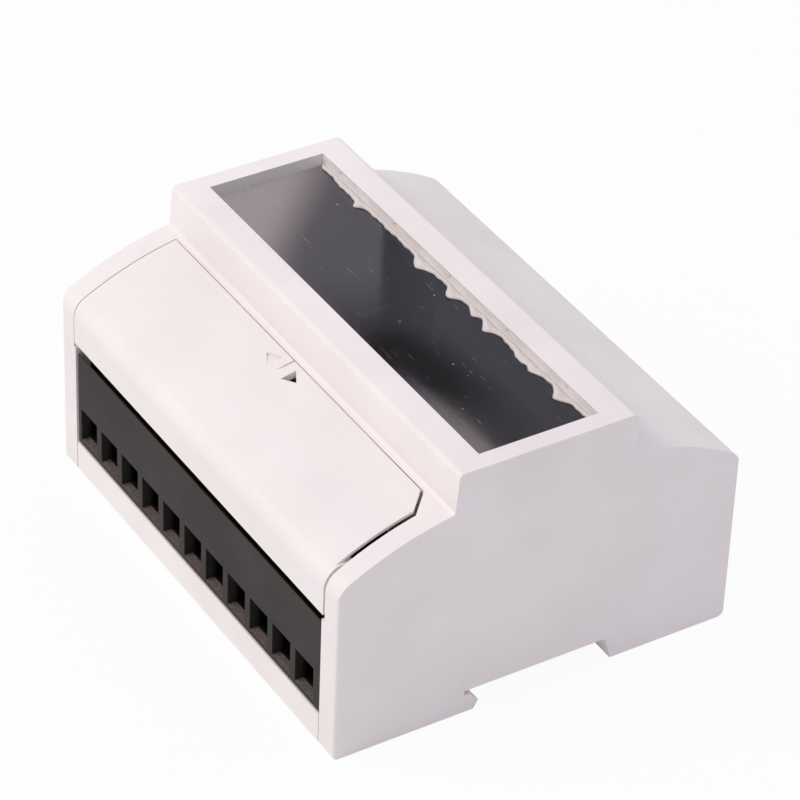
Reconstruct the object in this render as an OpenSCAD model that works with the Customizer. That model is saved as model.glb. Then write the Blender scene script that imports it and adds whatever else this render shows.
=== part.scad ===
// Enclosure for a circuit that clips on a 35 mm top-hat rail.
// A white moulded housing with rounded shoulders and a raised window section stands
// on a base with the rail seat. A black screw terminal strip fills the front, under
// a hinged cover, the back is closed, and a sprung latch there locks the rail.
// X runs along the rail, -Y is the front, +Z points away from the rail.
// The origin is the middle of the underside.

/* [Housing] */
// Length of the enclosure along the rail
housing_w = 121; // [119:1:139]
// Depth of the enclosure across the rail
housing_d = 99.5; // [99:0.5:103]
// Height of the raised window section
housing_h = 64.5; // [63:0.5:70]
// Thickness of the moulded skins
skin = 2.2; // [2:0.1:2.4]
// Thickness of the end walls
end_wall = 2.4; // [2.2:0.1:2.6]
// Width of the returns that frame each terminal strip
return_w = 6.3; // [6:0.1:6.5]

/* [Shoulders] */
// Height of the crown of the shoulder curve
crown_z = 55.5; // [54.5:0.1:56]
// Distance of that crown from the middle
crown_y = 11; // [9:0.5:13]
// Radius of the front shoulder curve
shoulder_r = 74; // [70:1:84]
// Radius of the rear shoulder curve
rear_shoulder_r = 68.5; // [66:0.5:84]
// Radius of the edge between shoulder and front
edge_r = 5; // [4:0.5:6]
// Radius of the lower front edge
front_foot_r = 0.8; // [0.6:0.1:1.4]
// Radius of the lower rear edge
rear_foot_r = 2.2; // [1.6:0.1:2.2]
// Radius of the upright corners
corner_r = 0.9; // [0.6:0.1:1.5]

/* [Raised section] */
// Depth of the raised section where it leaves the shoulders
raised_base = 44.8; // [44:0.2:46]
// Depth of the raised section at its top
raised_top = 43.6; // [43:0.2:44]
// Radius of its upper edges
raised_edge_r = 1.2; // [0.8:0.1:1.6]
// Radius of the fillet at its foot
raised_fillet_r = 1; // [0.6:0.1:1.2]

/* [Window] */
// Length of the window opening
window_w = 112.4; // [100:0.4:113.2]
// Depth of the window opening
window_d = 29.2; // [24:0.4:30]
// Depth of the pane below the top of the frame
window_recess = 3; // [2.4:0.1:3.4]
// Thickness of the pane
pane_t = 2; // [1.6:0.1:2.4]
// Number of moulding slots along each long side of the frame
frame_slots = 5; // [3:1:7]

/* [Rail seat] */
// Height of the rail seat above the underside
seat_z = 5.8; // [5.6:0.1:6.2]
// Width between the ends of the rail seat
seat_w = 35.6; // [35.4:0.1:36]
// Height of the slot that takes the edge of the rail
rail_slot = 1.2; // [1.1:0.1:1.4]

/* [Terminals] */
// Number of poles in each strip
poles = 11; // [9:1:11]
// Distance between poles
pitch = 9.6; // [9.4:0.1:9.6]
// Width of a wire entry
entry_w = 7.5; // [7.5:0.1:7.7]
// Height of the lower edge of the wire entries above the underside
entry_foot = 9.3; // [9.1:0.1:9.4]
// Height of the upper edge of the wire entries above the underside
entry_top = 17.9; // [17:0.1:18.4]

/* [Cover] */
// Thickness of the terminal cover
cover_t = 1.8; // [1.6:0.1:2]
// Gap along the upper sides of the cover
cover_gap = 1; // [0.8:0.1:1.2]
// Cut across the upper corners of the cover
cover_cut = 4.3; // [3:0.1:5]
// Radius of a hinge pin
pin_r = 1.1; // [1:0.05:1.2]

/* [Latch] */
// Width of the rail latch
latch_w = 12.4; // [11.6:0.2:12.4]

/* [Hidden] */

white = "#efe8e5";
base_white = "#e9e3e1";
black = "#3b3837";
smoke = [0.16, 0.16, 0.18, 0.75];
steel = "#b9bbbd";
tin = "#cfcfca";

half_d = housing_d / 2;
half_w = housing_w / 2;
inside_w = housing_w - 2 * end_wall;
bay_w = housing_w - 2 * return_w;
cover_bay_w = bay_w + 1.4;

// Shoulder curve: one large arc of radius r that runs into the small edge radius.
edge_y = half_d - edge_r;
shoulder_steps = 22;
edge_steps = 9;
fillet_steps = 4;

frame_z = housing_h - window_recess;
partition_z = 26;
partition_t = 1.4;
strip_y = 23.75;
port_x = 38;
ledge_w = 10;
port_top = 51.6;
gusset_pitch = 13.5;
gusset_first = -51.3;
gusset_count = 8;

base_floor = 2;
lip_h = 7.8;
lip_t = 2.3;
base_w = inside_w - 0.6;
lip_w = bay_w - 0.6;
boss_x = 43.2;
boss_y = 21.6;
board_z = 11;

cover_w = cover_bay_w - 0.6;
cover_edge_y = strip_y + 0.3;
cover_foot_z = 35;
cover_step_z = 46.4;
rim_t = 0.7;
rim_w = 2.2;
hinge_y = half_d - 2.45;
hinge_z = 38.2;
pin_clear = 0.06;
pin_len = 2.6;

block_w = bay_w - 1;
block_front = half_d - 0.35;
block_back = 24.8;
block_foot = lip_h + 0.3;
block_lip = 32.4;
block_top = 36.4;
block_step_y = 42.8;
trench_y = 45.4;
entry_wall = 1.8;
pole_shift = -0.8;
well_y = 37;
well_r = 2.7;
head_r = 2.4;
shank_r = 1.5;
screw_floor_z = 25.3;

guide_top = 6.3;
latch_travel = 4;
latch_nose_y = 15.6;
latch_top = 4.6;
channel_roof_z = 4.9;
channel_end = 47.4;
spring_front = 24;
peg_y = 36;

function arc_points(cy, cz, r, a0, a1, steps) =
    [for (i = [0:steps]) let (a = a0 + (a1 - a0) * i / steps) [cy + r * cos(a), cz + r * sin(a)]];

// Angle on the shoulder arc, drawn in by inset, at a distance y from the middle.
function shoulder_angle(r, y, inset) = acos((crown_y - y) / (r - inset));
function shoulder_height(r, y, inset) =
    crown_z - r + (r - inset) * sin(shoulder_angle(r, y, inset));

// Side outline from its foot up to a distance y from the middle.
function side_points(r, foot, y, inset) = let (
    edge_z = crown_z - r + sqrt(pow(r - edge_r, 2) - pow(edge_y - crown_y, 2)),
    tangent_a = atan2(edge_z - crown_z + r, crown_y - edge_y)
) concat(
    [[inset - half_d, foot]],
    arc_points(-edge_y, edge_z, edge_r - inset, 180, tangent_a, edge_steps),
    arc_points(-crown_y, crown_z - r, r - inset,
        tangent_a, shoulder_angle(r, y, inset), shoulder_steps)
);

function front_points(foot, y, inset) = side_points(shoulder_r, foot, y, inset);

function raised_points(r) = let (foot_y = raised_base / 2 + raised_fillet_r,
                                 foot_z = shoulder_height(r, foot_y, 0)) concat(
    arc_points(-foot_y, foot_z + raised_fillet_r, raised_fillet_r, 270, 360, fillet_steps),
    arc_points(raised_edge_r - raised_top / 2, housing_h - raised_edge_r, raised_edge_r,
        180, 90, fillet_steps)
);

function mirrored(points) = [for (i = [len(points) - 1:-1:0]) [-points[i][0], points[i][1]]];

// Extrudes a section drawn in Y and Z along the rail, centred on the middle.
module along_rail(length) {
    rotate([90, 0, 90])
        translate([0, 0, -length / 2])
            linear_extrude(length)
                children();
}

module block(x, y, z) {
    translate([x[0], y[0], z[0]])
        cube([x[1] - x[0], y[1] - y[0], z[1] - z[0]]);
}

module both_ends() {
    children();
    mirror([1, 0, 0]) children();
}

module both_sides() {
    children();
    mirror([0, 1, 0]) children();
}

module each_pole() {
    for (i = [0:poles - 1])
        translate([pole_shift + (i - (poles - 1) / 2) * pitch, 0, 0])
            children();
}

// Clear space for the rail: a hooked slot in front and a sloping wall behind.
module rail_notch() {
    slot_y = seat_w / 2;
    polygon([
        [-slot_y, seat_z], [slot_y, seat_z], [slot_y + 1.6, 0.6], [slot_y + 1.6, -1],
        [-15.4, -1], [-15.4, 0], [-14.2, 2.1],
        [1.2 - slot_y, seat_z - rail_slot], [-slot_y, seat_z - rail_slot]
    ]);
}

function foot_points(foot_r) =
    arc_points(foot_r - half_d, foot_r, foot_r, 270, 180, edge_steps);

function half_outline(r, foot_r) = concat(
    foot_points(foot_r),
    side_points(r, foot_r + 1, raised_base / 2 + raised_fillet_r, 0),
    raised_points(r)
);

module housing_outline() {
    polygon(concat(
        half_outline(shoulder_r, front_foot_r),
        mirrored(half_outline(rear_shoulder_r, rear_foot_r))
    ));
}

// Plan of the housing with its upright corners rounded.
module housing_plan() {
    x = half_w - corner_r;
    y = half_d - corner_r;
    square([housing_w, 2 * y], center = true);
    square([2 * x, housing_d], center = true);
    for (sx = [-1, 1])
        for (sy = [-1, 1])
            translate([sx * x, sy * y])
                circle(r = corner_r, $fn = 32);
}

// Room under the shoulders and inside the raised section, with the partition left.
module housing_hollow() {
    room_y = raised_base / 2 - skin;
    difference() {
        polygon(concat(
            front_points(-1, raised_base / 2, skin),
            mirrored(side_points(rear_shoulder_r, -1, raised_base / 2, skin))
        ));
        translate([-strip_y, partition_z])
            square([partition_t, crown_z]);
    }
    polygon([
        [-room_y, -1], [room_y, -1], [room_y, partition_z], [room_y, crown_z],
        [raised_top / 2 - skin, frame_z], [skin - raised_top / 2, frame_z],
        [-room_y, crown_z]
    ]);
}

// Rest for the upper edge of the cover, moulded on the partition beside its port.
module cover_ledge() {
    rest_z = shoulder_height(shoulder_r, cover_edge_y, cover_t) - 0.3;
    translate([port_x + 0.2 + ledge_w / 2, 0, 0])
        along_rail(ledge_w)
            polygon([
                [-strip_y + 0.5, rest_z], [-cover_edge_y, rest_z],
                [-cover_edge_y - 1.3, rest_z - 0.4],
                [-cover_edge_y - 1.3, rest_z - 1.2], [-strip_y + 0.5, rest_z - 2.8]
            ]);
}

// Corner of the shoulder that fills the cut upper right corner of the cover.
module cover_corner_fill() {
    cut_x = cover_w / 2 - cover_gap + 1;
    wall_x = cover_bay_w / 2 + 0.5;
    low_y = -cover_edge_y - cover_cut - wall_x + cut_x;
    intersection() {
        along_rail(housing_w)
            difference() {
                polygon(concat(front_points(cover_foot_z, strip_y - 0.5, 0),
                    [[0.5 - strip_y, cover_foot_z]]));
                polygon(concat(front_points(cover_foot_z - 1, strip_y - 1, skin),
                    [[1 - strip_y, cover_foot_z - 1]]));
            }
        translate([0, 0, cover_step_z])
            linear_extrude(housing_h)
                polygon([
                    [cut_x - cover_cut, 0.5 - strip_y], [wall_x, 0.5 - strip_y],
                    [wall_x, low_y], [cut_x - cover_cut, -cover_edge_y]
                ]);
    }
}

// Gussets that stiffen the foot of the raised section on the inside.
module gussets() {
    wall_y = raised_base / 2 - skin;
    for (i = [0:gusset_count - 1])
        translate([gusset_first + i * gusset_pitch, 0, 0])
            along_rail(2.6)
                polygon([
                    [-wall_y - 0.5, 59], [-wall_y + 0.4, 59],
                    [-wall_y + 1.6, 54], [-wall_y + 1.2, 50.8], [-wall_y - 0.6, 50.8]
                ]);
}

module hinge_boss() {
    block([cover_bay_w / 2, half_w - end_wall / 2], [-half_d + skin / 2, -hinge_y + 3],
        [hinge_z - 3.2, hinge_z + 3.2]);
}

module window_frame_slots() {
    slot_pitch = 23.2;
    for (i = [0:frame_slots - 1])
        translate([(i - (frame_slots - 1) / 2) * slot_pitch, window_d / 2, housing_h - 0.9])
            cube([4.6, 1.1, 0.7], center = true);
    translate([0, window_d / 2, housing_h - 0.65])
        cube([window_w - 2, 0.4, 0.25], center = true);
}

module upper_housing() {
    color(white)
        difference() {
            union() {
                difference() {
                    intersection() {
                        along_rail(housing_w) housing_outline();
                        translate([0, 0, -1]) linear_extrude(housing_h + 2) housing_plan();
                    }
                    along_rail(inside_w) housing_hollow();
                    block([-bay_w / 2, bay_w / 2], [-half_d - 1, -strip_y], [-1, housing_h]);
                    block([-cover_bay_w / 2, cover_bay_w / 2], [-half_d - 1, -strip_y],
                        [cover_foot_z - 1.2, housing_h]);
                    block([-bay_w / 2, bay_w / 2], [strip_y, half_d + 1], [-1, block_foot]);
                }
                both_ends() cover_ledge();
                cover_corner_fill();
                both_sides() gussets();
                both_ends() hinge_boss();
            }
            along_rail(housing_w + 2) rail_notch();
            block([-window_w / 2, window_w / 2], [-window_d / 2, window_d / 2],
                [frame_z - 1, housing_h + 1]);
            block([-port_x, port_x], [-strip_y - 1, -raised_base / 2 + 0.3],
                [partition_z - 1, port_top]);
            both_sides() window_frame_slots();
            both_ends()
                translate([cover_bay_w / 2 - 1, -hinge_y, hinge_z])
                    rotate([0, 90, 0])
                        cylinder(r = pin_r + pin_clear, h = pin_len + 1.4, $fn = 32);
            both_sides() both_ends()
                block([inside_w / 2 - 1, inside_w / 2 + 1], [-34.6, -25.4], [12.8, 15.4]);
        }
}

// Floor of the base: flat feet in front and behind, raised over the rail.
module base_section() {
    slot_y = seat_w / 2;
    step_y = slot_y + skin;
    foot_y = half_d - lip_t;
    roof_z = seat_z + base_floor;
    difference() {
        polygon([
            [-foot_y, 0], [foot_y, 0], [foot_y, base_floor], [step_y + 1.6, base_floor],
            [step_y, roof_z], [-step_y, roof_z], [-step_y, base_floor], [-foot_y, base_floor]
        ]);
        rail_notch();
    }
}

// Upright strip along one side, with the lower edge rounded as on the end walls.
module base_lip(foot_r) {
    along_rail(lip_w)
        polygon(concat(foot_points(foot_r), [
            [-half_d, lip_h], [-half_d + lip_t, lip_h], [-half_d + lip_t + 1, 0]
        ]));
}

module board_boss() {
    translate([boss_x, -boss_y, 1])
        cylinder(r = 2.8, h = board_z - 1, $fn = 40);
}

// Spring arm that snaps into a pocket of the end wall.
module snap_arm() {
    block([base_w / 2 - 1.6, base_w / 2], [-34, -26], [0.5, 15.2]);
    translate([base_w / 2, -26, 13])
        rotate([90, 0, 0])
            linear_extrude(8)
                polygon([[-0.1, 0], [0.8, 0.3], [0.8, 0.8], [-0.1, 2.2]]);
}

// Ribs under the terminal strip.
module block_ribs() {
    for (x = [14.4, 33.6, 52.8])
        block([x - 0.8, x + 0.8], [-half_d + lip_t - 0.5, -26], [1, block_foot]);
}

// Guide for the latch, with grooves for its side tongues and a peg for its spring.
module latch_guide() {
    block([-8.9, 8.9], [seat_w / 2 + 1.8, channel_end], [0, guide_top]);
}

module latch_clearance() {
    half = latch_w / 2 + 0.3;
    block([-half, half], [14, half_d + 1], [-1, channel_roof_z]);
    block([-half - 1, half + 1], [21, channel_end + 1], [1.8, 3.4]);
    block([-8.1, 8.1], [channel_end, half_d + 1], [-1, 5.3]);
}

module base_shell() {
    color(base_white) {
        difference() {
            union() {
                along_rail(base_w) base_section();
                base_lip(front_foot_r);
                mirror([0, 1, 0]) base_lip(rear_foot_r);
                both_sides() both_ends() board_boss();
                both_sides() both_ends() snap_arm();
                both_ends() block_ribs();
                latch_guide();
            }
            latch_clearance();
            both_sides() both_ends()
                translate([boss_x, -boss_y, 3])
                    cylinder(r = 1.2, h = board_z, $fn = 32);
        }
        block([-1.6, 1.6], [peg_y, peg_y + 2], [1.4, channel_roof_z + 0.5]);
    }
}

module window_pane() {
    color(smoke)
        block([-window_w / 2 - 1.3, window_w / 2 + 1.3], [-window_d / 2 - 1.6, window_d / 2 + 1.6],
            [frame_z - pane_t, frame_z]);
}

module din_latch() {
    half = latch_w / 2;
    head_y = channel_end + 0.3;
    color(base_white)
        difference() {
            union() {
                along_rail(latch_w)
                    polygon([
                        [latch_nose_y, latch_top], [latch_nose_y, latch_top - 0.7],
                        [latch_nose_y + 2.9, 1], [head_y + 1, 1], [head_y + 1, latch_top]
                    ]);
                block([-half - 0.8, half + 0.8], [22, channel_end - 1], [2.1, 3.1]);
                block([-half - 1.2, half + 1.2], [head_y, half_d - 0.5], [0.8, 5]);
            }
            block([-2.4, 2.4], [spring_front, peg_y + 2 + latch_travel + 0.6], [-1, 6]);
            block([-3, 3], [head_y + 0.4, half_d], [2, 3.6]);
        }
}

// Compression spring: a round wire swept along a helix with closed end turns.
module latch_spring() {
    turns = 7;
    ring = 8;
    steps = turns * 14;
    coil_r = 1.45;
    wire_r = 0.2;
    length = peg_y - spring_front - 2 * wire_r - 0.1;
    points = [for (i = [0:steps]) let (a = 360 * turns * i / steps)
        for (j = [0:ring - 1]) let (b = 360 * j / ring, r = coil_r + wire_r * cos(b))
            [r * cos(a), length * i / steps + wire_r * sin(b), r * sin(a)]];
    sides = [for (i = [0:steps - 1]) for (j = [0:ring - 1])
        let (k = (j + 1) % ring)
            [i * ring + j, i * ring + k, (i + 1) * ring + k, (i + 1) * ring + j]];
    caps = [[for (j = [ring - 1:-1:0]) j], [for (j = [0:ring - 1]) steps * ring + j]];
    color(steel)
        translate([0, spring_front + wire_r + 0.05, 2.85])
            polyhedron(points = points, faces = concat(sides, caps), convexity = 8);
}

// Curved shell of the cover, following the shoulder and the front.
module cover_section() {
    difference() {
        polygon(concat(front_points(cover_foot_z, cover_edge_y, 0), [[-cover_edge_y, cover_foot_z]]));
        polygon(concat(front_points(cover_foot_z - 1, cover_edge_y - 1, cover_t),
            [[1 - cover_edge_y, cover_foot_z - 1]]));
    }
}

module cover_lug() {
    translate([cover_w / 2 - 2, -hinge_y, hinge_z])
        rotate([0, 90, 0]) {
            cylinder(r = 2.2, h = 2, $fn = 40);
            cylinder(r = pin_r, h = 2 + pin_len - 0.2, $fn = 32);
        }
}

// Plan of the strip outside the right side and the cut corner, moved in by inset.
module cover_side_plan(inset) {
    side = cover_w / 2 - cover_gap + 0.3 - inset;
    slant = side + inset - cover_cut - inset * sqrt(2);
    polygon([
        [slant, -cover_edge_y + 1], [slant, -cover_edge_y], [side, slant - side - cover_edge_y],
        [side, -half_d - 1], [half_w, -half_d - 1], [half_w, -cover_edge_y + 1]
    ]);
}

module cover_corner_cut() {
    translate([0, 0, cover_step_z])
        linear_extrude(housing_h)
            cover_side_plan(0);
}

// Undercut that leaves a thin rim along the right side and the cut corner.
module cover_rim_relief() {
    intersection() {
        along_rail(housing_w)
            polygon(concat(front_points(cover_foot_z - 1, cover_edge_y - 1, rim_t),
                [[1 - cover_edge_y, cover_foot_z - 1]]));
        translate([0, 0, cover_step_z])
            linear_extrude(housing_h)
                cover_side_plan(rim_w);
    }
}

module arrow(x, direction, low) {
    mark_y = -27.2;
    translate([x, mark_y, low])
        linear_extrude(housing_h)
            polygon([[0, -1.9], [0, 1.9], [direction * 3.5, 0]]);
}

module cover_marks() {
    arrow(0.9, 1, 40);
    arrow(-4.9, -1, shoulder_height(shoulder_r, 27.2, 0) - 0.45);
    translate([-2.25, -cover_edge_y - 4.5, shoulder_height(shoulder_r, 26.2, 0) - 0.5])
        cube([0.5, 5, 5]);
}

module cover_rib() {
    thickness = 1.2;
    depth = 3.4;
    intersection() {
        along_rail(thickness)
            difference() {
                polygon(concat(front_points(cover_foot_z, cover_edge_y, cover_t - 0.3),
                    [[-cover_edge_y, cover_foot_z]]));
                polygon(concat(front_points(cover_foot_z - 1, cover_edge_y - 1, depth),
                    [[1 - cover_edge_y, cover_foot_z - 1]]));
            }
        block([-1, 1], [-half_d, -cover_edge_y - 3], [hinge_z + 3, housing_h]);
    }
}

module terminal_cover() {
    color(white)
        difference() {
            union() {
                along_rail(cover_w) cover_section();
                both_ends() cover_lug();
                for (x = [-33, 0, 33])
                    translate([x, 0, 0]) cover_rib();
            }
            cover_corner_cut();
            cover_rim_relief();
            cover_marks();
        }
}

// Wire entry: an upright opening through the front wall, with the clamp behind it.
module wire_entry() {
    block([-entry_w / 2, entry_w / 2], [-block_front - 1, entry_wall - block_front + 1],
        [entry_foot, entry_top]);
    block([-entry_w / 2, entry_w / 2], [entry_wall - block_front, -32.6], [entry_foot, 23.6]);
}

module screw_well() {
    translate([0, -well_y, screw_floor_z]) {
        cylinder(r = well_r, h = 20, $fn = 36);
        translate([0, 0, block_top - screw_floor_z - 1.2])
            cylinder(r1 = well_r, r2 = well_r + 1.3, h = 1.3, $fn = 36);
        translate([0, 0, -3])
            cylinder(r = shank_r + 0.3, h = 4, $fn = 32);
    }
    block([-2.1, 2.1], [-33, -24], [17.4, 19]);
}

// Upright wall that closes the port behind the strip.
module barrier() {
    block([0.4 - port_x, port_x - 0.4], [-block_back - 1, 0.4 - block_back],
        [block_top - 6, port_top - 0.4]);
}

module terminal_block() {
    trench_z = block_lip - 6;
    color(black) {
        barrier();
        both_ends()
            block([block_w / 2 - 1, inside_w / 2 - 0.4], [3 - half_d, -block_back], [18, 33]);
        difference() {
            along_rail(block_w)
                polygon([
                    [-block_front, block_foot], [-block_front, block_lip],
                    [0.3 - block_front, block_lip], [1.5 - block_front, block_lip - 3],
                    [1.5 - block_front, trench_z], [-trench_y, trench_z],
                    [-trench_y, block_lip], [-block_step_y, block_lip],
                    [-block_step_y, block_top], [-block_back, block_top],
                    [-block_back, block_foot]
                ]);
            each_pole() wire_entry();
            each_pole() screw_well();
            for (i = [0:poles - 2])
                translate([pole_shift + (i + 1 - poles / 2) * pitch, 0, 0])
                    block([-0.6, 0.6], [-block_back - 6, -block_back - 1.4],
                        [block_top - 12, block_top + 1]);
        }
    }
}

// Pan-head clamp screws with a straight slot, sunk in their wells.
module terminal_screws() {
    head_z = screw_floor_z + 0.5;
    color(steel)
        each_pole()
            translate([0, -well_y, 0])
                difference() {
                    union() {
                        translate([0, 0, 18.9])
                            cylinder(r = shank_r, h = head_z - 18.4, $fn = 32);
                        translate([0, 0, head_z])
                            cylinder(r = head_r, h = 2, $fn = 36);
                    }
                    block([-0.4, 0.4], [-3, 3], [head_z + 1, head_z + 3]);
                }
}

// Blackened steel cages that the screws pull up to hold the wires.
module wire_clamps() {
    half = entry_w / 2 - 0.2;
    wall = 0.9;
    front = block_front - entry_wall - 0.2;
    foot = entry_foot + 0.2;
    color(black)
        each_pole()
            difference() {
                block([-half, half], [-front, -33.4], [foot, 22.6]);
                block([wall - half, half - wall], [-front - 1, -33], [foot + wall, 20.4]);
                translate([0, -well_y, 20])
                    cylinder(r = shank_r + 0.05, h = 4, $fn = 32);
            }
}

// Tinned contacts: a flat bar through each cage and a solder leg behind the block.
module contacts() {
    color(tin)
        each_pole() {
            block([-1.9, 1.9], [-41.4, -23.6], [17.6, 18.8]);
            block([-0.5, 0.5], [-24.6, -23.6], [8.6, 17.7]);
        }
}

upper_housing();
base_shell();
window_pane();
din_latch();
latch_spring();
terminal_cover();  // front_terminal_cover
terminal_block();  // front_terminal_block
terminal_screws();  // front_terminal_screws
wire_clamps();  // front_wire_clamps
contacts();  // front_contacts
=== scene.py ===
import bmesh
import bpy
import numpy as np
from mathutils import Matrix, Vector


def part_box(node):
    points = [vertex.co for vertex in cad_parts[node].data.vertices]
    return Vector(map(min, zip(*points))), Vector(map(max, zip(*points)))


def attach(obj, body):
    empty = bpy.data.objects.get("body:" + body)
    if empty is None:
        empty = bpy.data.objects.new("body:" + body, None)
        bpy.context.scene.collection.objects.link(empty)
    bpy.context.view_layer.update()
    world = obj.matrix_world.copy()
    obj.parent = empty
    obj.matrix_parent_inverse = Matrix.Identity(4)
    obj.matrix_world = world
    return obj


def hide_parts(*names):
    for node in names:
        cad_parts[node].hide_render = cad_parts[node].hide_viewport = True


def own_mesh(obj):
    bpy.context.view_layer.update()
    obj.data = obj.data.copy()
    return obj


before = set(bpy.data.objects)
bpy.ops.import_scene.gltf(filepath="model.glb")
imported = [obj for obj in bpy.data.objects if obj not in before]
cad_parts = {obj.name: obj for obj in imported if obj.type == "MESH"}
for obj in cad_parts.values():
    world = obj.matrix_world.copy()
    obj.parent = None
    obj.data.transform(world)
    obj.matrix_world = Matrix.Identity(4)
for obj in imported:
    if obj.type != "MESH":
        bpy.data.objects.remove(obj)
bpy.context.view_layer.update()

# ---------------------------------------------------------------------------------------
# Upper housing. One injection moulding in white flame-retardant ABS: end walls, shoulders
# and the raised window frame. The tool was eroded to a fine satin skin, and its radii break
# every edge. Snap arms hold the housing on the base shell.


def linear(code):
    """Turns an sRGB hex colour into linear light: c / 12.92 up to 0.04045, and
    ((c + 0.055) / 1.055) to the power 2.4 above it."""
    srgb = np.array([int(code[i:i + 2], 16) for i in (1, 3, 5)]) / 255.0
    low = srgb / 12.92
    high = ((srgb + 0.055) / 1.055) ** 2.4
    return (*np.where(srgb <= 0.04045, low, high), 1.0)


def add(tree, kind, inputs=None, **settings):
    """Adds one node. Settings are its own properties, and inputs go by name or number: a
    socket is linked, and anything else is written into the input."""
    made = tree.nodes.new(kind)
    for name, value in settings.items():
        setattr(made, name, value)
    for name, value in (inputs or {}).items():
        if isinstance(value, bpy.types.NodeSocket):
            tree.links.new(made.inputs[name], value)
        else:
            made.inputs[name].default_value = value
    return made


def empty_material(name):
    """A material whose node tree is still empty, as (material, tree)."""
    made = bpy.data.materials.new(name)
    made.use_nodes = True
    made.node_tree.nodes.clear()
    return made, made.node_tree


def moulded_plastic(name, colour, shade, roughness, grain_mm, grain_depth_mm, speck=None,
                    pale_flecks=None, gloss=0.5):
    """Injection-moulded plastic. The colour wanders between two tones along slow flow marks,
    and the roughness wanders with it where the skin cooled unevenly. The eroded grain is a
    fine bump. Specks are rare burnt grains in the skin, and the low faces that look up are
    made paler in flecks."""
    made, tree = empty_material(name)
    place = add(tree, "ShaderNodeTexCoord").outputs["Object"]

    flow_mark_mm = 22.222
    flow = add(tree, "ShaderNodeTexNoise", {
        "Vector": place, "Scale": 1000.0 / flow_mark_mm, "Detail": 3.0}).outputs["Fac"]
    tone = add(tree, "ShaderNodeMapRange", {"Value": flow, "From Min": 0.35, "From Max": 0.7})
    skin = add(tree, "ShaderNodeMix", {
        0: tone.outputs["Result"], 6: linear(colour), 7: linear(shade)},
        data_type="RGBA").outputs[2]

    if speck:
        cell_mm, core_mm, rim_mm, speck_share = 10.526, 0.1263, 0.2105, 0.07
        cells = add(tree, "ShaderNodeTexVoronoi", {"Vector": place, "Scale": 1000.0 / cell_mm})
        grit = add(tree, "ShaderNodeMapRange", {
            "Value": cells.outputs["Distance"], "From Min": core_mm / cell_mm,
            "From Max": rim_mm / cell_mm, "To Min": 1.0, "To Max": 0.0})
        pick = add(tree, "ShaderNodeSeparateColor", {"Color": cells.outputs["Color"]})
        rare = add(tree, "ShaderNodeMath", {0: pick.outputs["Red"], 1: 1.0 - speck_share},
                   operation="GREATER_THAN")
        spot = add(tree, "ShaderNodeMath", {0: grit.outputs["Result"], 1: rare.outputs[0]},
                   operation="MULTIPLY")
        skin = add(tree, "ShaderNodeMix", {0: spot.outputs[0], 6: skin, 7: linear(speck)},
                   data_type="RGBA").outputs[2]

    # The low faces that look up are mixed towards the pale fleck colour, so they come out
    # paler.
    if pale_flecks:
        fleck_mm, thick_below, bare_above = 0.769, 0.0105, 0.012
        normal = add(tree, "ShaderNodeNewGeometry").outputs["True Normal"]
        upward = add(tree, "ShaderNodeSeparateXYZ", {"Vector": normal}).outputs["Z"]
        height = add(tree, "ShaderNodeSeparateXYZ", {"Vector": place}).outputs["Z"]
        level = add(tree, "ShaderNodeMapRange", {
            "Value": upward, "From Min": 0.8, "From Max": 0.95})
        low = add(tree, "ShaderNodeMapRange", {
            "Value": height, "From Min": thick_below, "From Max": bare_above,
            "To Min": 1.0, "To Max": 0.0})
        flecks = add(tree, "ShaderNodeTexNoise", {
            "Vector": place, "Scale": 1000.0 / fleck_mm, "Detail": 2.0})
        cover = add(tree, "ShaderNodeMapRange", {
            "Value": flecks.outputs["Fac"], "From Min": 0.35, "From Max": 0.62,
            "To Min": 0.55, "To Max": 1.0})
        pale_share = level.outputs["Result"]
        for share in (low, cover):
            pale_share = add(tree, "ShaderNodeMath", {0: pale_share, 1: share.outputs["Result"]},
                        operation="MULTIPLY").outputs[0]
        skin = add(tree, "ShaderNodeMix", {0: pale_share, 6: skin, 7: linear(pale_flecks)},
                   data_type="RGBA").outputs[2]

    smoother, duller = 0.03, 0.04
    cooled = add(tree, "ShaderNodeMapRange", {
        "Value": flow, "From Min": 0.3, "From Max": 0.7,
        "To Min": roughness - smoother, "To Max": roughness + duller})
    grain = add(tree, "ShaderNodeTexNoise", {
        "Vector": place, "Scale": 1000.0 / grain_mm, "Detail": 2.0})
    bump = add(tree, "ShaderNodeBump", {
        "Height": grain.outputs["Fac"], "Strength": 0.5, "Distance": grain_depth_mm / 1000.0})
    surface = add(tree, "ShaderNodeBsdfPrincipled", {
        "Base Color": skin, "Roughness": cooled.outputs["Result"],
        "Normal": bump.outputs["Normal"], "IOR": 1.53, "Specular IOR Level": gloss})
    add(tree, "ShaderNodeOutputMaterial", {"Surface": surface.outputs[0]})
    return made


bay_half = 0.0549       # half the length between the end walls
seam_reach = 0.00055    # the wall's inner side and its small step end this far outside it
corner_sum = 0.02625    # x + y on the plane of the shoulder's slanted corner
corner_start = 0.050    # the slanted corner lies between this x and bay_half
shoulder_y = -0.0236    # the shoulder beside the cover lies in front of this
shoulder_z = 0.033      # and above this
gap_ease = 0.00045      # how much the gap between the cover and the wall is widened


def widened_gap(points):
    """Moves the inner side of the right end wall, and the slanted corner of the shoulder
    beside the cover, outwards along X by gap_ease: the points from x = bay_half up to the
    seam, and those on the plane x + y = corner_sum. Both are found with a little slack."""
    wall_slack, corner_slack = 5e-5, 3e-5
    x, y, z = points.T
    beside = (y < shoulder_y) & (z > shoulder_z)
    wall = (x > bay_half - wall_slack) & (x < bay_half + seam_reach)
    corner = (np.abs(x + y - corner_sum) < corner_slack) & (x > corner_start) & (x < bay_half)
    points[beside & (wall | corner), 0] += gap_ease
    return points


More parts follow.
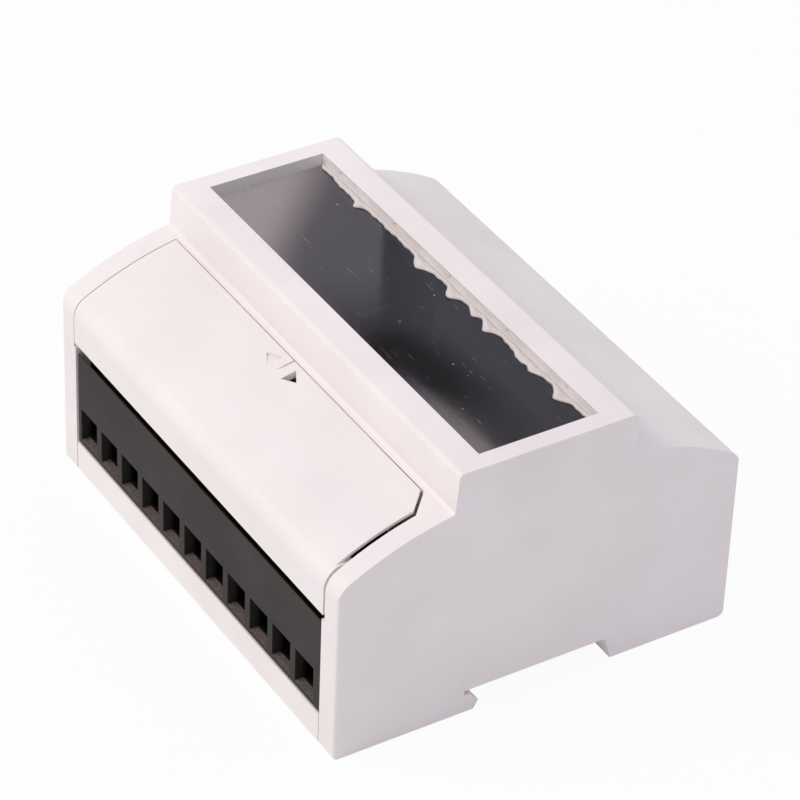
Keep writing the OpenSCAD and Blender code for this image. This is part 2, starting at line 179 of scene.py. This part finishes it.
def softened(node, name, radius_mm, finish, body, fitted=None):
    """A copy of a CAD piece with the tool's radius on its sharp edges. Doubled points are
    merged and flat runs joined first, so that the bevel meets whole faces, and the normals
    are weighted by area, so that large faces stay flat in the light beside the radii."""
    merge_reach = 2e-6
    flat, sharp, bevelled = np.radians((0.3, 32.0, 35.0))
    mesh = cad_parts[node].data.copy()
    if fitted:
        points = np.empty(3 * len(mesh.vertices))
        mesh.vertices.foreach_get("co", points)
        mesh.vertices.foreach_set("co", fitted(points.reshape(-1, 3)).ravel())
    piece = bpy.data.objects.new(name, mesh)
    bpy.context.scene.collection.objects.link(piece)
    form = bmesh.new()
    form.from_mesh(mesh)
    bmesh.ops.remove_doubles(form, verts=form.verts, dist=merge_reach)
    bmesh.ops.dissolve_limit(form, angle_limit=flat, verts=form.verts, edges=form.edges)
    form.to_mesh(mesh)
    form.free()
    if radius_mm:
        edge = piece.modifiers.new("tool_radius", "BEVEL")
        edge.width = radius_mm / 1000.0
        edge.segments = 2
        edge.limit_method = "ANGLE"
        edge.angle_limit = bevelled
        edge.use_clamp_overlap = True
        shading = piece.modifiers.new("face_weights", "WEIGHTED_NORMAL")
        shading.weight = 100
        shading.keep_sharp = True
    mesh.materials.clear()
    mesh.materials.append(finish)
    mesh.polygons.foreach_set("use_smooth", np.ones(len(mesh.polygons), bool))
    mesh.set_sharp_from_angle(angle=sharp)
    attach(piece, body)
    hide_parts(node)
    return piece


# White ABS, spark-eroded: a warm white with a soft sheen, faintly cloudy, and here and there
# a grey point. The grain of all the mouldings is drawn coarser than the real 0.1 mm or so,
# so that it shows.
abs_white = moulded_plastic("white_abs_satin", "#f3ece8", "#ece5e1", 0.42, 0.45, 0.012,
                            speck="#a59c98")
housing = softened("upper_housing", "housing_moulding", 0.35, abs_white, "housing",
                   fitted=widened_gap)
# The housing is left out of what other pieces mirror, so that the room shows in the pane
# right up to the foot of the frame.
housing.visible_glossy = False

# ---------------------------------------------------------------------------------------
# Base shell and rail latch. The same white ABS from separate tools. The shell snaps into the
# end walls and carries the rail seat, and the latch slides in a guide at its back.

# White ABS from a duller tool: less sheen than the housing, and a shade paler.
abs_base = moulded_plastic("white_abs_base", "#f6f0eb", "#efe8e3", 0.48, 0.45, 0.014,
                           speck="#a59c98")
softened("base_shell", "base_moulding", 0.25, abs_base, "housing")
softened("din_latch", "latch_moulding", 0.2, abs_base, "latch")

# ---------------------------------------------------------------------------------------
# Window pane. A flat strip of smoked acrylic sheet, 2 mm thick, laid on a ledge inside the
# raised frame. It lets a little of the case's inside through and mirrors the room.

# Smoked acrylic, polished: a cool near-black under a clear mirror. A thin film makes the
# mirror uneven, and pale motes and slanted wiping scratches lie on it.
acrylic, tree = empty_material("smoked_acrylic_polished")
film_mm, scratch_mm, scratch_stretch, scratch_turn = 16.667, 5.882, 26.0, np.radians(24.0)
mote_cell_mm, mote_core_mm, mote_rim_mm, mote_share = 2.381, 0.1667, 0.3095, 0.08
place = add(tree, "ShaderNodeTexCoord").outputs["Object"]
haze = add(tree, "ShaderNodeTexNoise", {
    "Vector": place, "Scale": 1000.0 / film_mm, "Detail": 4.0})
film = add(tree, "ShaderNodeMapRange", {
    "Value": haze.outputs["Fac"], "From Min": 0.4, "From Max": 0.75,
    "To Min": 0.03, "To Max": 0.07})
motes = add(tree, "ShaderNodeTexVoronoi", {"Vector": place, "Scale": 1000.0 / mote_cell_mm})
mote = add(tree, "ShaderNodeMapRange", {
    "Value": motes.outputs["Distance"], "From Min": mote_core_mm / mote_cell_mm,
    "From Max": mote_rim_mm / mote_cell_mm, "To Min": 1.0, "To Max": 0.0})
chance = add(tree, "ShaderNodeSeparateColor", {"Color": motes.outputs["Color"]})
few = add(tree, "ShaderNodeMath", {0: chance.outputs["Red"], 1: 1.0 - mote_share},
          operation="GREATER_THAN")
pale_flecks = add(tree, "ShaderNodeMath", {0: mote.outputs["Result"], 1: few.outputs[0]},
           operation="MULTIPLY")
slanted = add(tree, "ShaderNodeMapping", {
    "Vector": place, "Rotation": (0.0, 0.0, scratch_turn),
    "Scale": (1.0, scratch_stretch, 1.0)})
wiped = add(tree, "ShaderNodeTexNoise", {
    "Vector": slanted.outputs["Vector"], "Scale": 1000.0 / scratch_mm, "Detail": 2.0})
scratch = add(tree, "ShaderNodeMapRange", {
    "Value": wiped.outputs["Fac"], "From Min": 0.71, "From Max": 0.76})
marks = add(tree, "ShaderNodeMath", {0: pale_flecks.outputs[0], 1: scratch.outputs["Result"]},
            operation="MAXIMUM")
smoke = add(tree, "ShaderNodeMix", {
    0: marks.outputs[0], 6: linear("#131318"), 7: linear("#9c9a9f")}, data_type="RGBA")
surface = add(tree, "ShaderNodeBsdfPrincipled", {
    "Base Color": smoke.outputs[2], "Roughness": film.outputs["Result"],
    "IOR": 1.49, "Alpha": 0.7})
add(tree, "ShaderNodeOutputMaterial", {"Surface": surface.outputs[0]})
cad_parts["window_pane"].data.materials.clear()
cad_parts["window_pane"].data.materials.append(acrylic)

# ---------------------------------------------------------------------------------------
# Pane adhesive. A bead of white glue run along the back edge of the pane to hold it. It was
# pressed out unevenly, so it swells into soft lobes that lie on the pane.

pane_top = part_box("window_pane")[1][2]
bead_y = 0.0146         # the bead's back edge, under the frame
bead_half = 0.0561      # half its length
bead_rise = 0.0007      # its height over the pane
bead_lift = 0.00002     # it starts this far above the pane, so that the faces stay apart
strip_mm = 0.9          # the width of the bead between its lobes
taper = 0.0012          # it narrows over this length at both ends
tip_share = 0.02        # and keeps the root of this share of its width at the tip
# Each wave in the strip's width: its height in mm, its turn per mm and its start.
waves = ((0.12, 0.9, 0.0), (0.08, 2.3, 1.0))
# Each lobe: its centre along X, its depth and its spread, all in mm.
lobes = ((-44.0, 0.5, 5.0), (-37.8, 1.8, 1.5), (-11.0, 2.2, 2.8), (1.8, 2.1, 2.2),
         (10.4, 1.3, 1.5), (16.4, 2.0, 2.1), (28.8, 1.2, 3.6), (33.8, 1.4, 1.7),
         (44.4, 2.1, 2.4))


def glue_bead(name, along, around):
    """A bead along X, on a grid of along x around points. Each cross-section is the upper
    half of an ellipse. Its width is the strip with its two sine waves, plus the sum of the
    bell-shaped lobes depth * exp(-((x - centre) / spread)^2), and at both ends it narrows
    with the square root of the distance to the tip."""
    x = np.linspace(-bead_half, bead_half, along)
    mm = x * 1000.0
    width = strip_mm
    for height, pace, start in waves:
        width = width + height * np.sin(mm * pace + start)
    for centre, depth, spread in lobes:
        width = width + depth * np.exp(-((mm - centre) / spread) ** 2)
    ends = np.clip((bead_half - np.abs(x)) / taper, tip_share, 1.0) ** 0.5
    width = width * ends / 1000.0
    turn = np.linspace(0.0, np.pi, around)
    y = bead_y - width[:, None] * (1.0 - np.cos(turn)) / 2.0
    z = pane_top + bead_lift + bead_rise * ends[:, None] * np.sin(turn)
    ring = np.stack([np.broadcast_to(x[:, None], y.shape), y, np.broadcast_to(z, y.shape)], -1)
    start = np.arange(along - 1)[:, None] * around
    step = np.arange(around)[None, :]
    after = (step + 1) % around
    quads = np.stack([start + step, start + after, start + around + after,
                      start + around + step], -1).reshape(-1, 4)
    tips = [list(range(around))[::-1], list(range((along - 1) * around, along * around))]
    mesh = bpy.data.meshes.new(name)
    mesh.from_pydata(ring.reshape(-1, 3).tolist(), [], quads.tolist() + tips)
    mesh.polygons.foreach_set("use_smooth", np.ones(len(mesh.polygons), bool))
    return mesh


# White acrylic glue, dried in air: milky, a little see-through at its thin rims, with the
# low gloss and the ripples of a skin that shrank.
glue, tree = empty_material("white_acrylic_glue_dried")
ripple_mm = 1.4286
place = add(tree, "ShaderNodeTexCoord").outputs["Object"]
skin = add(tree, "ShaderNodeTexNoise", {
    "Vector": place, "Scale": 1000.0 / ripple_mm, "Detail": 3.0}).outputs["Fac"]
milky = add(tree, "ShaderNodeMix", {0: skin, 6: linear("#e6deda"), 7: linear("#d2c8c4")},
            data_type="RGBA")
ripple = add(tree, "ShaderNodeBump", {"Height": skin, "Strength": 0.4, "Distance": 0.0001})
surface = add(tree, "ShaderNodeBsdfPrincipled", {
    "Base Color": milky.outputs[2], "Roughness": 0.35, "IOR": 1.47,
    "Normal": ripple.outputs["Normal"], "Subsurface Weight": 0.25,
    "Subsurface Radius": (0.0012, 0.0011, 0.001), "Subsurface Scale": 1.0})
add(tree, "ShaderNodeOutputMaterial", {"Surface": surface.outputs[0]})
bead = bpy.data.objects.new("pane_adhesive", glue_bead("pane_adhesive", along=420, around=11))
bpy.context.scene.collection.objects.link(bead)
bead.data.materials.append(glue)
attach(bead, "housing")

# ---------------------------------------------------------------------------------------
# Terminal cover. A thin flap that follows the front shoulder, in the housing's ABS. Pins
# moulded on its lower corners turn in the end walls, and its upper right corner is cut.

# White ABS from a finer tool: the smoothest of the three whites, and free of grey points.
abs_cover = moulded_plastic("white_abs_cover", "#f2ebe7", "#ede6e2", 0.40, 0.4, 0.010)
softened("front_terminal_cover", "cover_moulding", 0.2, abs_cover, "front_cover")

# ---------------------------------------------------------------------------------------
# Terminal strip. One block for eleven wires, moulded in black glass-filled polyamide. It
# sits along the front, between the cover and the base.

# Black glass-filled polyamide, moulded: a warm near-black with a dry, chalky skin. Its low
# faces that look up, the floors of its wire entries, are made paler in flecks.
polyamide = moulded_plastic("black_polyamide", "#2b2623", "#231f1c", 0.62, 0.35, 0.02,
                            pale_flecks="#7a6c66", gloss=0.28)
softened("front_terminal_block", "strip_moulding", 0.12, polyamide, "housing")

# ---------------------------------------------------------------------------------------
# Terminal metal. Turned clamp screws in zinc-plated steel, pressed steel wire cages and
# stamped contacts in tinned brass, eleven of each, pushed into the strip. The cages are
# coloured near-black: painted shade that darkens the hollows behind the wire entries.


def plated_metal(name, colour, roughness, grain_mm, cloudy="#8f9092"):
    """Plated metal: a cloudy tone of the plating over the base colour, and a drawn or
    pressed grain in the roughness."""
    made, tree = empty_material(name)
    brighter, duller = 0.08, 0.12
    place = add(tree, "ShaderNodeTexCoord").outputs["Object"]
    cloud = add(tree, "ShaderNodeTexNoise", {
        "Vector": place, "Scale": 1000.0 / grain_mm, "Detail": 3.0}).outputs["Fac"]
    tone = add(tree, "ShaderNodeMix", {0: cloud, 6: linear(colour), 7: linear(cloudy)},
               data_type="RGBA")
    wear = add(tree, "ShaderNodeMapRange", {
        "Value": cloud, "To Min": roughness - brighter, "To Max": roughness + duller})
    surface = add(tree, "ShaderNodeBsdfPrincipled", {
        "Base Color": tone.outputs[2], "Roughness": wear.outputs["Result"], "Metallic": 1.0})
    add(tree, "ShaderNodeOutputMaterial", {"Surface": surface.outputs[0]})
    return made


# Zinc plating gives the screws a light, slightly cloudy grey, and tin gives the contacts a
# warmer and smoother one. The cages are dull, near-black and almost colourless: painted
# shade that darkens the hollows behind the wire entries.
zinc = plated_metal("zinc_plated_steel", "#cfd0d2", 0.34, 1.2)
tin = plated_metal("tinned_brass", "#d8d6cc", 0.28, 0.9)
# Near-black cages: painted shade in the hollows behind the wire entries.
cage_painted_shade = plated_metal("cage_steel_painted_shade", "#100f0e", 0.7, 0.8, cloudy="#1b1918")
for part, finish in (("terminal_screws", zinc), ("wire_clamps", cage_painted_shade), ("contacts", tin)):
    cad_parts["front_" + part].data.materials.clear()
    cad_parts["front_" + part].data.materials.append(finish)

# ---------------------------------------------------------------------------------------
# Latch spring. A coil of spring wire between the base and the latch. It shortens towards its
# fixed end as the latch is pulled out.

# Drawn spring wire: a bright grey, smooth enough to glint along each turn.
wire = plated_metal("spring_wire", "#bdbec2", 0.3, 0.5)
spring = softened("latch_spring", "spring_coil", 0, wire, "housing")
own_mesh(spring)

# ---------------------------------------------------------------------------------------
# Studio. A white tent over a pale paper floor, with one square softbox high at the front
# left. Tent and floor look white, also in gloss and through glass, while the light that
# they give the case stays at a plain level.


def background_rays(tree):
    """1 for rays that see the background, straight, in gloss or through glass, and 0 for
    the light that falls on the case."""
    rays = add(tree, "ShaderNodeLightPath")
    seen = rays.outputs["Is Camera Ray"]
    for other in ("Is Glossy Ray", "Is Transmission Ray"):
        seen = add(tree, "ShaderNodeMath", {0: seen, 1: rays.outputs[other]},
                   operation="MAXIMUM").outputs[0]
    return seen


world = bpy.data.worlds.new("white_tent")
bpy.context.scene.world = world
world.use_nodes = True
tree = world.node_tree
tree.nodes.clear()
plain = add(tree, "ShaderNodeBackground", {"Color": linear("#ffffff"), "Strength": 1.0})
lit = add(tree, "ShaderNodeBackground", {"Color": linear("#f1f1ff"), "Strength": 0.745})
either = add(tree, "ShaderNodeMixShader", {
    0: background_rays(tree), 1: lit.outputs[0], 2: plain.outputs[0]})
add(tree, "ShaderNodeOutputWorld", {"Surface": either.outputs[0]})

# Studio paper, matt: a flat pale grey that takes the case's shadow. Most of what is seen of
# it is plain white, so the shadow stays faint.
paper, tree = empty_material("studio_paper")
white_share = 0.94
matt = add(tree, "ShaderNodeBsdfPrincipled", {
    "Base Color": linear("#ebebeb"), "Roughness": 0.9})
glow = add(tree, "ShaderNodeEmission", {"Color": linear("#ffffff"), "Strength": 1.0})
share = add(tree, "ShaderNodeMath", {0: background_rays(tree), 1: white_share},
            operation="MULTIPLY")
bright = add(tree, "ShaderNodeMixShader", {
    0: share.outputs[0], 1: matt.outputs[0], 2: glow.outputs[0]})
add(tree, "ShaderNodeOutputMaterial", {"Surface": bright.outputs[0]})
floor_half = 3.0
floor = bpy.data.objects.new("studio_floor", bpy.data.meshes.new("studio_floor"))
bpy.context.scene.collection.objects.link(floor)
floor.data.from_pydata(
    [(-floor_half, -floor_half, 0), (floor_half, -floor_half, 0),
     (floor_half, floor_half, 0), (-floor_half, floor_half, 0)], [], [(0, 1, 2, 3)])
floor.data.materials.append(paper)

middle = Vector((0, 0, 0.03))
softbox = bpy.data.lights.new("key_softbox", "AREA")
softbox.size = 0.7
softbox.energy = 7.1
softbox.color = linear("#fff8ec")[:3]
key = bpy.data.objects.new("key_softbox", softbox)
bpy.context.scene.collection.objects.link(key)
key.location = (-0.35, -0.9, 0.95)
key.rotation_euler = (middle - key.location).to_track_quat("-Z", "Y").to_euler()

# ---------------------------------------------------------------------------------------
# Room card. An upright card behind the case, which stands for the dim room that the pane
# mirrors: a window at one end, a lit wall with an upright edge, a dark corner and a pale
# sill. Only gloss sees it.

azimuth, elevation, roll = np.radians((57.307, 36.233, 2.36))
facing = np.array([np.sin(azimuth), -np.cos(azimuth), 0.0])
sideways = np.array([np.cos(azimuth), np.sin(azimuth), 0.0])
card_away, card_low, card_high, card_half = 0.45, 0.28, 0.48, 0.13
corners = [-card_away * facing + h * sideways + np.array([0, 0, z])
           for h, z in ((-card_half, card_low), (card_half, card_low),
                        (card_half, card_high), (-card_half, card_high))]
card = bpy.data.objects.new("room_card", bpy.data.meshes.new("room_card"))
card.data.from_pydata([tuple(c) for c in corners], [], [(0, 1, 2, 3)])
bpy.context.scene.collection.objects.link(card)

# The room's light falls in soft patches. The window's edge leans as it rises, and the edges
# of the corner and the sill run at 45 degrees.
room, tree = empty_material("dim_room_with_window")
window_lean, darkest = 0.35, 0.05
place = add(tree, "ShaderNodeTexCoord").outputs["Object"]
side = add(tree, "ShaderNodeVectorMath", {0: place, 1: tuple(sideways)},
           operation="DOT_PRODUCT").outputs["Value"]
height = add(tree, "ShaderNodeSeparateXYZ", {"Vector": place}).outputs["Z"]
lean = add(tree, "ShaderNodeMath", {0: height, 1: window_lean, 2: side},
           operation="MULTIPLY_ADD").outputs[0]
slant = add(tree, "ShaderNodeMath", {0: side, 1: height}, operation="SUBTRACT").outputs[0]
# Each soft step: what it runs along, where it starts and ends in metres, and its two levels.
steps = {
    "window": (lean, 0.070, 0.091, 3.9, 0.0),
    "wall_side": (side, -0.008, -0.0055, 1.1, 0.0),
    "wall_top": (height, 0.36, 0.392, 1.0, 0.0),
    "gloom": (side, -0.010, 0.030, 0.62, 1.04),
    "corner_edge": (slant, -0.390, -0.362, 1.0, 0.0),
    "corner_foot": (height, 0.378, 0.398, 0.0, 1.0),
    "corner_top": (height, 0.404, 0.430, 1.0, 0.4),
    "sill_edge": (slant, -0.401, -0.3975, 1.0, 0.0),
    "sill_rise": (height, 0.396, 0.428, 0.5, 3.0),
}
patches = {}
for name, (source, start, end, level, next_level) in steps.items():
    patches[name] = add(tree, "ShaderNodeMapRange", {
        "Value": source, "From Min": start, "From Max": end, "To Min": level,
        "To Max": next_level}, interpolation_type="SMOOTHSTEP").outputs["Result"]
for name, first, others in (("wall", "wall_side", ("wall_top",)),
                            ("corner", "corner_edge", ("corner_foot", "corner_top")),
                            ("sill", "sill_edge", ("sill_rise",))):
    patches[name] = patches[first]
    for other in others:
        patches[name] = add(tree, "ShaderNodeMath", {0: patches[name], 1: patches[other]},
                            operation="MULTIPLY").outputs[0]
light = patches["gloom"]
for patch, operation in ((patches["corner"], "SUBTRACT"), (patches["wall"], "ADD"),
                         (patches["window"], "ADD"), (patches["sill"], "ADD"),
                         (darkest, "MAXIMUM")):
    light = add(tree, "ShaderNodeMath", {0: light, 1: patch}, operation=operation).outputs[0]
warmth = add(tree, "ShaderNodeMapRange", {
    "Value": light, "From Min": 1.2, "From Max": 3.0}, interpolation_type="SMOOTHSTEP")
tint = add(tree, "ShaderNodeMix", {
    0: warmth.outputs["Result"], 6: linear("#f1edff"), 7: linear("#fff0f5")},
    data_type="RGBA")
shine = add(tree, "ShaderNodeEmission", {"Color": tint.outputs[2], "Strength": light})
add(tree, "ShaderNodeOutputMaterial", {"Surface": shine.outputs[0]})
card.data.materials.append(room)
card.visible_camera = False
card.visible_diffuse = False
card.visible_shadow = False
card.visible_transmission = False

# ---------------------------------------------------------------------------------------
# Camera. A long lens that looks down on the front right corner of the case, rolled by a
# little over two degrees. It is slid from the middle of the underside, 3 mm across and 30 mm
# up its own view, so that it faces the middle of the case.

away, slide_x, slide_y = 0.89757, 0.002798, 0.029643
back = np.array([np.sin(azimuth) * np.cos(elevation), -np.cos(azimuth) * np.cos(elevation),
                 np.sin(elevation)])
right = np.cross(-back, (0, 0, 1))
right /= np.linalg.norm(right)
up = np.cross(right, -back)
cam_x = np.cos(roll) * right + np.sin(roll) * up
cam_y = -np.sin(roll) * right + np.cos(roll) * up
stand = back * away + cam_x * slide_x + cam_y * slide_y
lens = bpy.data.cameras.new("long_lens")
lens.sensor_width = 36.0
lens.lens = 180.3105
lens.clip_start = 0.01
camera = bpy.data.objects.new("long_lens", lens)
bpy.context.scene.collection.objects.link(camera)
camera.matrix_world = Matrix([
    (cam_x[0], cam_y[0], back[0], stand[0]),
    (cam_x[1], cam_y[1], back[1], stand[1]),
    (cam_x[2], cam_y[2], back[2], stand[2]),
    (0, 0, 0, 1)])
bpy.context.scene.camera = camera
bpy.context.scene.view_settings.view_transform = "Standard"
